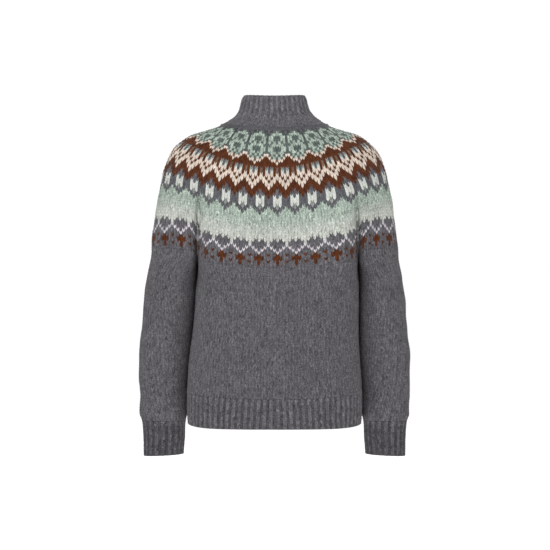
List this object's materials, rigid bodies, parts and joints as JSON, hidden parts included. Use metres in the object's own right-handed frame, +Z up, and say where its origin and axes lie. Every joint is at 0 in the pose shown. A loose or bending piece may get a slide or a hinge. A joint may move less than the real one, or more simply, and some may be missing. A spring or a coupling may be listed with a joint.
{
  "type": "nordic yoke sweater",
  "caption": "Hand-knit style wool sweater with a round patterned yoke, ribbed mock neck, hem and cuffs, hollow and filled out as worn.",
  "frame": {"origin": "middle of the neck opening, level with the tops of the shoulders, where the wearer's shoulders hold the sweater", "axes": "+Z up, -Y towards the front, +Y towards the back, +X towards the wearer's left"},
  "size_m": [0.5382, 0.2487, 0.7136],
  "materials": {
    "heather_grey_knit": "matte heathered wool, plain knitting",
    "heather_grey_rib": "matte heathered wool, one by one rib",
    "patterned_knit": "matte stranded wool knitting in grey, sage, pale grey, brown and cream"
  },
  "bodies": {
    "root": {"collar": "heather_grey_rib", "yoke": "patterned_knit", "body": "heather_grey_knit", "sleeve_left": "heather_grey_knit", "sleeve_right": "heather_grey_knit", "hem_rib": "heather_grey_rib", "cuff_left": "heather_grey_rib", "cuff_right": "heather_grey_rib"}
  },
  "joints": []
}
